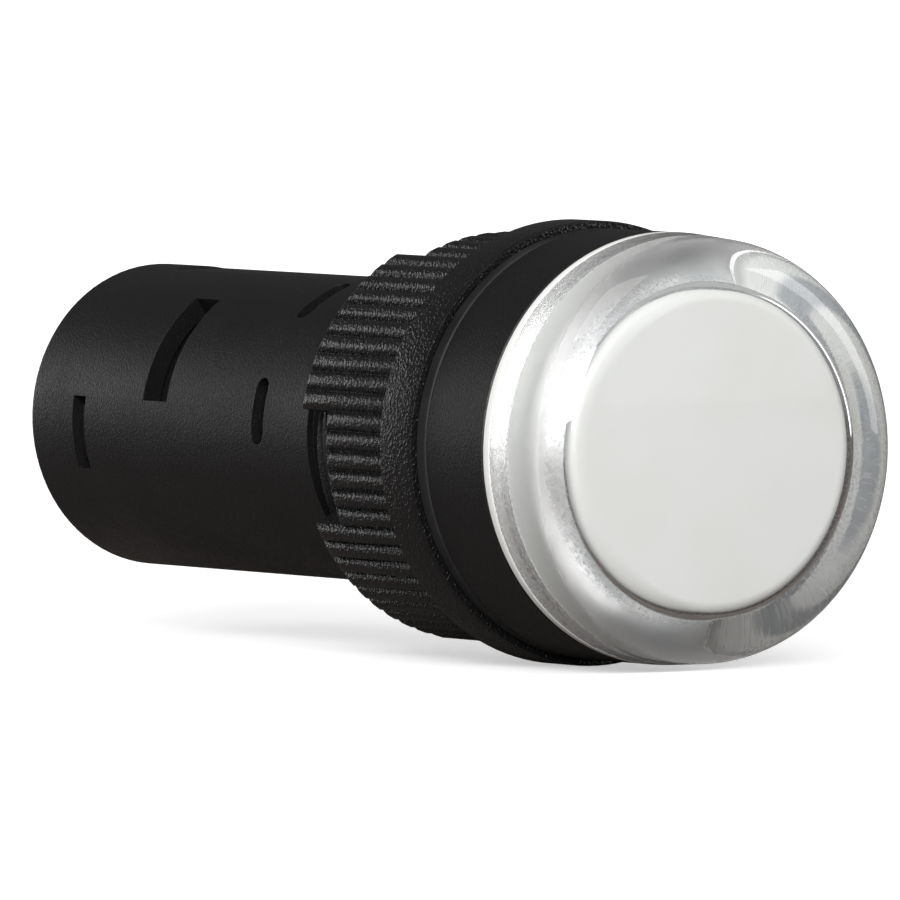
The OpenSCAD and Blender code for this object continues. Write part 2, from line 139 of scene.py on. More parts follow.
class Graph:
    """A node tree with short calls that add nodes and join their sockets."""

    def __init__(self, tree: NodeTree) -> None:
        """Empties a node tree, to fill it."""
        self.tree = tree
        tree.nodes.clear()

    def node(self, kind: str, sockets: Optional[Sockets] = None, **settings: object) -> Node:
        """Adds a node.

        Args:
            kind: Blender's name of the node type.
            sockets: What its inputs are fed with, if anything.
            **settings: Properties to set on the node.

        Returns:
            The new node.
        """
        made = self.tree.nodes.new(kind)
        for name, value in settings.items():
            setattr(made, name, value)
        self.feed(made, sockets or {})
        return made

    def feed(self, made: Node, sockets: Sockets) -> None:
        """Joins outputs to a node's inputs, or sets the inputs' own values.

        Args:
            made: The node.
            sockets: An output, a number, a vector or a colour for each input, by the
                input's index or its name with underscores standing for spaces.
        """
        for key, value in sockets.items():
            socket = made.inputs[key.replace("_", " ") if isinstance(key, str) else key]
            if isinstance(value, Socket):
                self.tree.links.new(value, socket)
            else:
                socket.default_value = (*value, 1.0) if socket.type == "RGBA" else value

    def math(self, operation: str, *values: Feed) -> Socket:
        """Works out a number from one or two others."""
        return self.node("ShaderNodeMath", dict(enumerate(values)), operation=operation).outputs[0]

    def times(self, a: Feed, b: Feed) -> Socket:
        """Multiplies two numbers."""
        return self.math("MULTIPLY", a, b)

    def plus(self, a: Feed, b: Feed) -> Socket:
        """Adds two numbers."""
        return self.math("ADD", a, b)

    def minus(self, a: Feed, b: Feed) -> Socket:
        """Takes the second number from the first."""
        return self.math("SUBTRACT", a, b)

    def mix(self, share: Feed, a: Feed, b: Feed) -> Socket:
        """Mixes two colours by the second one's share."""
        inputs = {0: share, 6: a, 7: b}
        return self.node("ShaderNodeMix", inputs, data_type="RGBA").outputs[2]

    def blend(self, share: Feed, a: Feed, b: Feed) -> Socket:
        """Mixes two numbers by the second one's share."""
        inputs = {0: share, 2: a, 3: b}
        return self.node("ShaderNodeMix", inputs, data_type="FLOAT").outputs[0]

    def choose(self, share: Feed, a: Feed, b: Feed) -> Socket:
        """Mixes two shaders by the second one's share."""
        return self.node("ShaderNodeMixShader", {0: share, 1: a, 2: b}).outputs[0]

    def noise(self, where: Feed, scale: Feed, detail: float = 2.0, rough: float = 0.5,
              wander: float = 0.0) -> Socket:
        """Adds a noise texture.

        Args:
            where: The coordinates' socket.
            scale: Features per metre.
            detail: Number of finer layers.
            rough: Weight of the finer layers.
            wander: Distortion.

        Returns:
            The noise value's socket.
        """
        return self.node("ShaderNodeTexNoise", {
            "Vector": where, "Scale": scale, "Detail": detail, "Roughness": rough,
            "Distortion": wander}).outputs["Fac"]

    def rise(self, value: Feed, span: Span, base: float = 0.0) -> Socket:
        """Turns a value into a mask that rises from 0 to 1 over a span.

        Args:
            value: The value's socket.
            span: Where the mask leaves 0 and where it meets 1.
            base: What the span is measured from.

        Returns:
            The mask's socket.
        """
        inputs = {"Value": value, "From Min": base + span[0], "From Max": base + span[1]}
        return self.node("ShaderNodeMapRange", inputs,
                         interpolation_type="SMOOTHSTEP").outputs["Result"]

    def fall(self, value: Feed, span: Span, base: float = 0.0) -> Socket:
        """Turns a value into a mask that falls from 1 to 0 over a span."""
        return self.minus(1.0, self.rise(value, span, base))

    def group(self, shared: NodeTree, **sockets: Feed) -> Outputs:
        """Places a shared node group, feeds it by name and gives its outputs."""
        return self.node("ShaderNodeGroup", sockets, node_tree=shared).outputs

    def shader(self, kind: str, **sockets: Feed) -> Socket:
        """Adds a shader, fed by name, and gives its socket."""
        return self.node(kind, sockets).outputs[0]

    def show(self, shader: Socket, kind: str = "ShaderNodeOutputMaterial") -> None:
        """Adds the tree's output and joins a shader to it."""
        self.node(kind, {"Surface": shader})


def new_group(name: str, numbers: dict[str, float],
              outputs: Sequence[str]) -> tuple[Graph, Node, Node]:
    """Makes an empty shader node group that takes a place and some numbers.

    Args:
        name: The group's name.
        numbers: Name and default of each number that follows the input Place.
        outputs: Name of each output. They give numbers too.

    Returns:
        The group's graph, its input node and its output node.
    """
    tree = bpy.data.node_groups.new(name, "ShaderNodeTree")
    tree.interface.new_socket("Place", in_out="INPUT", socket_type="NodeSocketVector")
    for label, default in numbers.items():
        socket = tree.interface.new_socket(label, in_out="INPUT", socket_type="NodeSocketFloat")
        socket.default_value = default
    for label in outputs:
        tree.interface.new_socket(label, in_out="OUTPUT", socket_type="NodeSocketFloat")
    graph = Graph(tree)
    return graph, graph.node("NodeGroupInput"), graph.node("NodeGroupOutput")


@dataclass
class SharedEffects:
    """Node groups that several finishes use: moulded grain, handling and metal.

    Noises are in features per metre, and each span says where a mask of its noise rises.
    """

    pebble_tops: Span = (0.34, 0.68)
    grit_fineness: float = 3.1
    shades: float = 160.0
    smears: float = 95.0
    smear_span: Span = (0.38, 0.66)
    specks: float = 9000.0
    speck_span: Span = (0.74, 0.80)
    patches: float = 210.0
    patch_span: Span = (0.42, 0.70)
    drawn_out: float = 0.12
    dull: float = 420.0
    dull_span: Span = (0.30, 0.75)
    tarnish: float = 900.0
    tarnish_span: Span = (0.50, 0.80)

    def __post_init__(self) -> None:
        """Builds every shared group once."""
        self.grain = self._grain()
        self.handling = self._handling()
        self.metal = self._metal()

    def _grain(self) -> NodeTree:
        """Spark-eroded grain of a moulded surface: pebbles with fine grit between them.

        Returns:
            The group, with the outputs Height, Pebble and Shade.
        """
        graph, given, out = new_group("moulded_grain", {"Pebbles": 5000.0, "Grit": 0.4},
                                      ("Height", "Pebble", "Shade"))
        place, pebbles, grit = (given.outputs[index] for index in range(3))
        tops = graph.rise(graph.noise(place, pebbles, detail=1.0, rough=0.4, wander=0.3),
                          self.pebble_tops)
        fine = graph.noise(place, graph.times(pebbles, self.grit_fineness), rough=0.6)
        graph.feed(out, {"Height": graph.plus(tops, graph.times(fine, grit)), "Pebble": tops,
                         "Shade": graph.noise(place, self.shades)})
        return graph.tree

    def _handling(self) -> NodeTree:
        """Faint finger smears and fine dust that make a finish uneven.

        Returns:
            The group, with the outputs Smear and Dust.
        """
        graph, given, out = new_group("handling", {}, ("Smear", "Dust"))
        place = given.outputs[0]
        wide = graph.noise(place, self.smears, detail=3.0, rough=0.55, wander=0.8)
        specks = graph.rise(graph.noise(place, self.specks, detail=0.0), self.speck_span)
        patches = graph.rise(graph.noise(place, self.patches), self.patch_span)
        graph.feed(out, {"Smear": graph.rise(wide, self.smear_span),
                         "Dust": graph.times(specks, patches)})
        return graph.tree

    def _metal(self) -> NodeTree:
        """Drawn and tumbled surface of small metal parts.

        Returns:
            The group, with the outputs Height, Dull and Tarnish.
        """
        graph, given, out = new_group("metal_surface", {"Size": 3000.0},
                                      ("Height", "Dull", "Tarnish"))
        place, size = given.outputs[0], given.outputs[1]
        stretch = graph.node("ShaderNodeMapping",
                             {"Vector": place, "Scale": (1.0, 1.0, self.drawn_out)})
        dull = graph.rise(graph.noise(place, self.dull, detail=3.0), self.dull_span)
        tarnish = graph.rise(graph.noise(place, self.tarnish), self.tarnish_span)
        graph.feed(out, {
            "Height": graph.noise(stretch.outputs[0], size, detail=3.0, rough=0.6),
            "Dull": dull, "Tarnish": tarnish})
        return graph.tree


class Surface(Graph):
    """A new material's graph, with the object's own coordinates and the shared groups."""

    def __init__(self, name: str, shared: SharedEffects) -> None:
        """Starts an empty material.

        Args:
            name: The material's name.
            shared: The shared node groups.
        """
        self.material = bpy.data.materials.new(name)
        self.material.use_nodes = True
        super().__init__(self.material.node_tree)
        self.shared = shared
        self.place = self.node("ShaderNodeTexCoord").outputs["Object"]

    def _split(self) -> Outputs:
        """Splits the coordinates into X, Y and Z."""
        return self.node("ShaderNodeSeparateXYZ", {"Vector": self.place}).outputs

    def along(self) -> Socket:
        """Gives the place along the lamp axis."""
        return self._split()["Y"]

    def across(self) -> Socket:
        """Gives the distance from the lamp axis."""
        split = self._split()
        return self.math("SQRT", self.plus(*(self.times(split[i], split[i]) for i in "XZ")))

    def grain(self, pebbles: float, grit: float) -> Outputs:
        """Places the moulded grain, with its pebbles per metre and its share of grit."""
        return self.group(self.shared.grain, Place=self.place, Pebbles=pebbles, Grit=grit)

    def touch(self) -> Outputs:
        """Places the traces of handling."""
        return self.group(self.shared.handling, Place=self.place)

    def principled(self, **sockets: Feed) -> None:
        """Adds a Principled shader, fed by name, and shows it."""
        self.show(self.shader("ShaderNodeBsdfPrincipled", **sockets))

    def bump(self, height: Feed, depth: float, edge: float = 0.0) -> Socket:
        """Adds relief to the surface, with its sharp edges eased.

        Args:
            height: The relief's socket, from 0 to 1.
            depth: The relief's depth in metres.
            edge: Radius in metres that sharp edges are eased to, or 0 for none.

        Returns:
            The normal's socket.
        """
        made = self.node("ShaderNodeBump", {"Strength": 1.0, "Distance": depth, "Height": height})
        if edge:
            eased = self.node("ShaderNodeBevel", {"Radius": edge}, samples=6)
            self.feed(made, {"Normal": eased.outputs[0]})
        return made.outputs[0]


# --- Finishes ---


@dataclass(frozen=True)
class Finish:
    """A named look. Each kind of finish fills the material's graph in its own way."""

    name: str

    def build(self, shared: SharedEffects) -> Material:
        """Makes the material.

        Args:
            shared: The shared node groups.

        Returns:
            The material.
        """
        graph = Surface(self.name, shared)
        self.shade(graph)
        return graph.material

    def shade(self, graph: Surface) -> None:
        """Fills the material's graph."""
        raise NotImplementedError


@dataclass(frozen=True)
class MouldedPlastic(Finish):
    """Grained thermoplastic, the finish of the housing, nut, carrier and terminal block."""

    colour: Colour = (0.0036, 0.0036, 0.0040)
    worn: Colour = (0.0075, 0.0074, 0.0078)
    wear: float = 0.6
    dust: Colour = (0.09, 0.09, 0.09)
    dusting: float = 0.3
    gloss: float = 0.36
    rough: float = 0.47
    valleys: float = -0.10
    smearing: float = 0.06
    pebble: float = 0.15 * MM
    depth: float = 0.008 * MM
    grit: float = 0.4
    edge: float = 0.06 * MM
    index: float = 1.52

    def shade(self, graph: Surface) -> None:
        """Makes a grained shader with wear and a little dust.

        Args:
            graph: The material's graph.
        """
        grain = graph.grain(1.0 / self.pebble, self.grit)
        touch = graph.touch()
        colour = graph.mix(graph.times(grain["Shade"], self.wear), self.colour, self.worn)
        dusty = graph.mix(graph.times(touch["Dust"], self.dusting), colour, self.dust)
        uneven = graph.plus(graph.times(grain["Pebble"], self.valleys),
                            graph.times(touch["Smear"], self.smearing))
        graph.principled(
            Base_Color=dusty, Roughness=graph.plus(uneven, self.rough),
            IOR=self.index, Specular_IOR_Level=self.gloss,
            Normal=graph.bump(grain["Height"], self.depth, self.edge))


@dataclass(frozen=True)
class ClearPlastic(Finish):
    """Clear polycarbonate cap, polished outside and finely frosted inside, with painted shade.

    The inner wall has a grey tint, and its front end and two rings on the foot a darker
    slate tint. Both are painted shade that darkens what is seen through the cap. Spans across
    are measured from the bore, and spans along from the hollow's front or the foot.
    """

    bore: float
    inside: float
    foot: float
    tint: Colour = (0.965, 0.966, 0.962)
    # Grey tint of the inner wall, and slate tint of its front end and the foot's rings: painted
    # shade.
    wall_shade_tint: Colour = (0.38, 0.38, 0.376)
    painted_shade: Colour = (0.26, 0.28, 0.32)
    passed: Colour = (0.92, 0.93, 0.93)
    wall_across: Span = (0.1 * MM, 0.3 * MM)
    wall_along: Span = (0.05 * MM, 0.4 * MM)
    shade_along: Span = (0.9 * MM, 1.9 * MM)
    foot_along: Span = (-0.3 * MM, -0.1 * MM)
    rings: tuple[tuple[Span, Span], ...] = (
        ((0.7 * MM, 0.9 * MM), (1.3 * MM, 1.5 * MM)),
        ((2.0 * MM, 2.3 * MM), (2.9 * MM, 3.1 * MM)),
    )
    ring_shade: float = 0.75
    foot_shade: float = 0.25
    index: float = 1.585
    polish: float = 0.008
    smearing: float = 0.012
    frost: float = 0.30
    valleys: float = -0.16
    pebbles: float = 4200.0
    grit: float = 0.8
    flow: float = 260.0
    flow_depth: float = 0.012 * MM

    def shade(self, graph: Surface) -> None:
        """Makes a clear shader that lets shadow and diffuse rays straight through.

        Args:
            graph: The material's graph.
        """
        along, across = graph.along(), graph.across()
        wall = graph.times(graph.fall(across, self.wall_across, self.bore),
                           graph.rise(along, self.wall_along, self.inside))
        foot = graph.rise(along, self.foot_along, self.foot)
        band = graph.times(wall, graph.fall(along, self.shade_along, self.inside))
        dark = graph.math("MAXIMUM", band, graph.times(foot, self._rings(graph, across)))
        polished = graph.plus(graph.times(graph.touch()["Smear"], self.smearing), self.polish)
        pebble = graph.grain(self.pebbles, self.grit)["Pebble"]
        frosted = graph.plus(graph.times(graph.times(pebble, dark), self.valleys), self.frost)
        flow = graph.noise(graph.place, self.flow)
        # The base colour paints shade into the cap: a grey tint on the inner wall, and a darker
        # slate tint on its front end and the foot's rings.
        clear = graph.shader(
            "ShaderNodeBsdfPrincipled",
            Base_Color=graph.mix(dark, graph.mix(wall, self.tint, self.wall_shade_tint), self.painted_shade),
            Roughness=graph.blend(graph.math("MAXIMUM", wall, foot), polished, frosted),
            IOR=self.index, Transmission_Weight=1.0, Normal=graph.bump(flow, self.flow_depth))
        rays = graph.node("ShaderNodeLightPath").outputs
        through = graph.math("MAXIMUM", rays["Is Shadow Ray"], rays["Is Diffuse Ray"])
        passed = graph.shader("ShaderNodeBsdfTransparent", Color=self.passed)
        graph.show(graph.choose(through, clear, passed))

    def _rings(self, graph: Surface, across: Socket) -> Socket:
        """Shares out the painted shade on the foot by the distance from the lamp axis."""
        rings = (graph.minus(graph.rise(across, start, self.bore),
                             graph.rise(across, end, self.bore)) for start, end in self.rings)
        return graph.plus(graph.times(graph.plus(*rings), self.ring_shade), self.foot_shade)


@dataclass(frozen=True)
class OpalPlastic(Finish):
    """Milky white diffuser moulding with a satin skin."""

    colour: Colour = (0.80, 0.80, 0.785)
    warm: Colour = (0.77, 0.765, 0.74)
    warm_span: Span = (0.35, 0.75)
    clouds: float = 130.0
    rough: float = 0.42
    uneven: float = 0.1
    pebbles: float = 6500.0
    grit: float = 0.6
    depth: float = 0.002 * MM
    index: float = 1.49

    def shade(self, graph: Surface) -> None:
        """Makes a white shader with faint warm clouds.

        Args:
            graph: The material's graph.
        """
        cloud = graph.noise(graph.place, self.clouds, detail=3.0, wander=0.5)
        grain = graph.grain(self.pebbles, self.grit)
        graph.principled(
            Base_Color=graph.mix(graph.rise(cloud, self.warm_span), self.colour, self.warm),
            Roughness=graph.plus(graph.times(cloud, self.uneven), self.rough),
            IOR=self.index, Normal=graph.bump(grain["Height"], self.depth))


@dataclass(frozen=True)
class SoftRubber(Finish):
    """Smooth moulded rubber of the panel gasket."""

    colour: Colour = (0.0095, 0.0095, 0.0100)
    bloom: Colour = (0.020, 0.020, 0.021)
    gloss: float = 0.3
    rough: float = 0.52
    smearing: float = 0.1
    pebbles: float = 9000.0
    grit: float = 0.5
    depth: float = 0.003 * MM
    edge: float = 0.05 * MM
    index: float = 1.5

    def shade(self, graph: Surface) -> None:
        """Makes a dull shader with a grey bloom where it was handled.

        Args:
            graph: The material's graph.
        """
        smear = graph.touch()["Smear"]
        grain = graph.grain(self.pebbles, self.grit)
        graph.principled(
            Base_Color=graph.mix(smear, self.colour, self.bloom),
            Roughness=graph.plus(graph.times(smear, self.smearing), self.rough),
            IOR=self.index, Specular_IOR_Level=self.gloss,
            Normal=graph.bump(grain["Height"], self.depth, self.edge))


@dataclass(frozen=True)
class SmallMetal(Finish):
    """Plated or bare metal of screws, plates, washers and leads."""

    colour: Colour
    tarnish: Colour
    rough: float = 0.28
    size: float = 3000.0
    ageing: float = 0.55
    dulling: float = 0.16
    depth: float = 0.004 * MM
    edge: float = 0.07 * MM

    def shade(self, graph: Surface) -> None:
        """Makes a metal shader with drawn lines and tarnish.

        Args:
            graph: The material's graph.
        """
        metal = graph.group(graph.shared.metal, Place=graph.place, Size=self.size)
        aged = graph.times(metal["Tarnish"], self.ageing)
        dull = graph.times(metal["Dull"], self.dulling)
        graph.principled(
            Base_Color=graph.mix(aged, self.colour, self.tarnish),
            Roughness=graph.plus(dull, self.rough), Metallic=1.0,
            Normal=graph.bump(metal["Height"], self.depth, self.edge))


@dataclass(frozen=True)
class CircuitBoard(Finish):
    """Solder-masked board with faint tracks under the mask and laminate showing through."""

    mask: Colour
    track: Colour
    laminate: Colour = (0.42, 0.37, 0.22)
    pitch: float = 1.6 * MM
    gap: float = 0.16 * MM
    gap_blur: float = 0.2
    run: float = 3.2
    blotches: float = 380.0
    showing: float = 0.25
    rough: float = 0.24
    uneven: float = 0.15
    depth: float = 0.02 * MM
    edge: float = 0.05 * MM
    index: float = 1.5

    def shade(self, graph: Surface) -> None:
        """Makes a lacquered shader with raised tracks, each a run of pitches long.

        Args:
            graph: The material's graph.
        """
        gaps = graph.node("ShaderNodeTexBrick", {
            "Vector": graph.place, "Scale": 1.0, "Mortar Size": self.gap,
            "Mortar Smooth": self.gap_blur, "Brick Width": self.run * self.pitch,
            "Row Height": self.pitch}).outputs["Fac"]
        colour = graph.mix(gaps, self.track, self.mask)
        blotch = graph.noise(graph.place, self.blotches)
        graph.principled(
            Base_Color=graph.mix(graph.times(blotch, self.showing), colour, self.laminate),
            Roughness=graph.plus(graph.times(blotch, self.uneven), self.rough),
            IOR=self.index,
            Normal=graph.bump(graph.minus(1.0, gaps), self.depth, self.edge))


@dataclass(frozen=True)
class Band:
    """A coloured band round a component: its start and end along the body."""

    start: float
    end: float
    colour: Colour


@dataclass(frozen=True)
class BandedBody(Finish):
    """Lacquered component body whose colour changes in bands along the lamp axis."""

    base: Colour
    front: float
    bands: tuple[Band, ...] = ()
    rough: float = 0.3
    blur: float = 0.05 * MM
    grime: Colour = (0.02, 0.02, 0.02)
    grime_share: float = 0.2
    lacquer: float = 1500.0
    uneven: float = 0.15
    coat: float = 0.3
    depth: float = 0.01 * MM
    edge: float = 0.05 * MM

    def shade(self, graph: Surface) -> None:
        """Makes a lacquered shader with the bands painted over the base.

        Args:
            graph: The material's graph.
        """
        along = graph.minus(graph.along(), self.front)
        colour: Feed = self.base
        soft = (-self.blur, self.blur)
        for band in self.bands:
            inside = graph.times(graph.rise(along, soft, band.start),
                                 graph.fall(along, soft, band.end))
            colour = graph.mix(inside, colour, band.colour)
        lacquer = graph.noise(graph.place, self.lacquer)
        grime = graph.times(lacquer, self.grime_share)
        graph.principled(
            Base_Color=graph.mix(grime, colour, self.grime),
            Roughness=graph.plus(graph.times(lacquer, self.uneven), self.rough),
            Coat_Weight=self.coat, Normal=graph.bump(lacquer, self.depth, self.edge))


@dataclass(frozen=True)
class LedPackage(Finish):
    """White LED package with a yellow phosphor window on its proud front."""

    window: float
    body: Colour = (0.82, 0.82, 0.80)
    phosphor: Colour = (0.86, 0.66, 0.16)
    deep_phosphor: Colour = (0.74, 0.50, 0.08)
    blur: float = 0.01 * MM
    clouds: float = 2500.0
    rough: float = 0.3
    uneven: float = 0.2
    depth: float = 0.006 * MM
    edge: float = 0.05 * MM

    def shade(self, graph: Surface) -> None:
        """Makes a white shader with the window in front of its plane.

        Args:
            graph: The material's graph.
        """
        behind = graph.rise(graph.along(), (-self.blur, self.blur), self.window)
        cloud = graph.noise(graph.place, self.clouds)
        phosphor = graph.mix(cloud, self.phosphor, self.deep_phosphor)
        graph.principled(
            Base_Color=graph.mix(behind, phosphor, self.body),
            Roughness=graph.plus(graph.times(cloud, self.uneven), self.rough),
            Normal=graph.bump(cloud, self.depth, self.edge))


@dataclass(frozen=True)
class PaleFloor(Finish):
    """Floor that glows up to white with distance, and is dim to all but camera rays."""

    matt: Colour = (0.82, 0.82, 0.82)
    dim: Colour = (0.165, 0.145, 0.135)
    reach: Span = (0.12, 0.9)
    near_glow: float = 0.5
    far_glow: float = 1.0

    def shade(self, graph: Surface) -> None:
        """Makes a matt glowing shader for the camera and a dim one for other rays.

        Args:
            graph: The material's graph.
        """
        distance = graph.node("ShaderNodeVectorMath", {0: graph.place}, operation="LENGTH")
        far = graph.rise(distance.outputs["Value"], self.reach)
        glow = graph.shader("ShaderNodeEmission",
                            Strength=graph.blend(far, self.near_glow, self.far_glow))
        matt = graph.shader("ShaderNodeBsdfDiffuse", Color=self.matt)
        bright = graph.node("ShaderNodeAddShader", {0: matt, 1: glow}).outputs[0]
        dim = graph.shader("ShaderNodeBsdfDiffuse", Color=self.dim)
        seen = graph.node("ShaderNodeLightPath").outputs["Is Camera Ray"]
        graph.show(graph.choose(seen, dim, bright))


# --- Mesh and scene tools ---


@dataclass(frozen=True)
class Corner:
    """A corner of a turned outline: radius, place along the axis and rounding."""

    radius: float
    along: float
    rounding: float = 0.0
    steps: int = 3


def turned(corners: Sequence[Corner], closed: bool = True) -> BMesh:
    """Turns a rounded outline about the lamp axis.

    Args:
        corners: The outline's corners in order, in metres.
        closed: Whether the last corner joins the first. An outline that ends on the
            axis stays open.

    Returns:
        The closed shell as a bmesh.
    """
    shell = bmesh.new()
    verts = [shell.verts.new((corner.radius, corner.along, 0.0)) for corner in corners]
    pairs = list(zip(verts, verts[1:])) + ([(verts[-1], verts[0])] if closed else [])
    for pair in pairs:
        shell.edges.new(pair)
    for vert, corner in zip(verts, corners):
        if corner.rounding:
            bmesh.ops.bevel(shell, geom=[vert], offset=corner.rounding, offset_type="OFFSET",
                            segments=corner.steps, profile=0.5, affect="VERTICES", material=-1)
    bmesh.ops.spin(shell, geom=shell.verts[:] + shell.edges[:], cent=(0.0, 0.0, 0.0),
                   axis=AXIS, angle=2.0 * math.pi, steps=ROUND, use_merge=True)
    bmesh.ops.remove_doubles(shell, verts=shell.verts, dist=WELD)
    bmesh.ops.recalc_face_normals(shell, faces=shell.faces)
    return shell


def frame_copy(node: Object) -> BMesh:
    """Copies a CAD node's mesh with its triangles joined up.

    Args:
        node: The CAD node's object.

    Returns:
        The merged copy.
    """
    shell = bmesh.new()
    shell.from_mesh(node.data)
    bmesh.ops.remove_doubles(shell, verts=shell.verts, dist=WELD)
    return shell


def set_radius(shell: BMesh, radius: float, chosen: Callable[[float, float], bool]) -> None:
    """Moves chosen points in or out to one radius about the lamp axis.

    Args:
        shell: The mesh.
        radius: The new radius in metres.
        chosen: Says from a point's radius and its place along the axis whether it moves.
    """
    moved = 0
    for vert in shell.verts:
        across = Vector((vert.co.x, 0.0, vert.co.z))
        if chosen(across.length, vert.co.y):
            across *= radius / across.length
            vert.co = Vector((across.x, vert.co.y, across.z))
            moved += 1
    bmesh.ops.remove_doubles(shell, verts=shell.verts, dist=WELD)
    LOG.info("%d points moved to a radius of %.2f mm", moved, radius / MM)


def add_object(name: str, data: bpy.types.ID) -> Object:
    """Adds an object to the scene.

    Args:
        name: The object's name.
        data: Its mesh, lamp or camera.

    Returns:
        The object.
    """
    made = bpy.data.objects.new(name, data)
    bpy.context.scene.collection.objects.link(made)
    return made


def add_mesh(name: str, shell: BMesh, material: Material) -> Object:
    """Adds a bmesh to the scene as an object.

    Args:
        name: The object's name.
        shell: The mesh, which is freed.
        material: Its finish.

    Returns:
        The object.
    """
    mesh = bpy.data.meshes.new(name)
    shell.to_mesh(mesh)
    shell.free()
    mesh.materials.append(material)
    return add_object(name, mesh)


def place_piece(name: str, shell: BMesh, body: Body, material: Material) -> Object:
    """Turns a bmesh into a smooth piece of the lamp with crisp sharp edges.

    Args:
        name: The piece's name.
        shell: The mesh, which is freed.
        body: The body that it rides on.
        material: Its finish.

    Returns:
        The new object.
    """
    for face in shell.faces:
        face.smooth = True
    for edge in shell.edges:
        edge.smooth = edge.calc_face_angle(0.0) < CREASE
    piece = add_mesh(name, shell, material)
    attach(piece, body.value)
    LOG.info("%s: %d faces, rides on %s", name, len(piece.data.polygons), body.value)
    return piece


@dataclass(frozen=True)
class Thread:
    """A one-start right-hand thread, as a ridge on a plain wall."""

    root: float
    crest: float
    start: float
    end: float
    pitch: float = THREAD_PITCH
    root_half: float = 0.62 * MM
    crest_half: float = 0.11 * MM
    sunk: float = 0.06 * MM
    phase: float = 0.0
    side: Side = Side.OUTWARD
    spare_turns: float = 1.5
    steps: int = 72

    def build(self) -> BMesh:
        """Sweeps the ridge's outline up the helix and trims both ends flat.

        Returns:
            The ridge as a closed shell.
        """
        ridge = bmesh.new()
        sunk = self.root - self.side.value * self.sunk
        first = self.start - self.spare_turns * self.pitch + self.phase
        half = ((sunk, self.root_half), (self.root, self.root_half), (self.crest, self.crest_half))
        outline = [(radius, -along) for radius, along in half] + list(reversed(half))
        verts = [ridge.verts.new((radius, first + along, 0.0)) for radius, along in outline]
        for index, vert in enumerate(verts):
            ridge.edges.new((vert, verts[(index + 1) % len(verts)]))
        turns = (self.end - self.start) / self.pitch + 2.0 * self.spare_turns
        count = round(turns * self.steps)
        bmesh.ops.spin(ridge, geom=ridge.verts[:] + ridge.edges[:], cent=(0.0, 0.0, 0.0),
                       axis=AXIS, dvec=AXIS * (self.pitch / self.steps),
                       angle=2.0 * math.pi * count / self.steps, steps=count, use_merge=False)
        self._close(ridge)
        for along, keep in ((self.start, -1.0), (self.end, 1.0)):
            bmesh.ops.bisect_plane(
                ridge, geom=ridge.verts[:] + ridge.edges[:] + ridge.faces[:], dist=FLUSH,
                plane_co=AXIS * along, plane_no=AXIS * keep, clear_outer=True)
            self._close(ridge)
        bmesh.ops.remove_doubles(ridge, verts=ridge.verts, dist=RIDGE_WELD)
        bmesh.ops.recalc_face_normals(ridge, faces=ridge.faces)
        return ridge

    @staticmethod
    def _close(ridge: BMesh) -> None:
        """Fills the ridge's open ends."""
        bmesh.ops.holes_fill(ridge, edges=[e for e in ridge.edges if e.is_boundary], sides=0)


# --- Sub-assemblies ---


@dataclass
class Workshop:
    """What every sub-assembly is built with: the frame's nodes and the finishes."""

    nodes: dict[str, Object]
    shared: SharedEffects
    finishes: dict[str, Material] = field(default_factory=dict)

    def finish(self, wanted: Finish) -> Material:
        """Gives a finish's material, made the first time that it is asked for.

        Args:
            wanted: The finish.

        Returns:
            The material.
        """
        if wanted.name not in self.finishes:
            self.finishes[wanted.name] = wanted.build(self.shared)
        return self.finishes[wanted.name]

    def dress(self, wanted: Finish, *names: str) -> None:
        """Gives CAD nodes a finish.

        Args:
            wanted: The finish.
            *names: The nodes' names.
        """
        material = self.finish(wanted)
        for name in names:
            mesh = self.nodes[name].data
            mesh.materials.clear()
            mesh.materials.append(material)
            LOG.info("%s: %s", name, wanted.name)


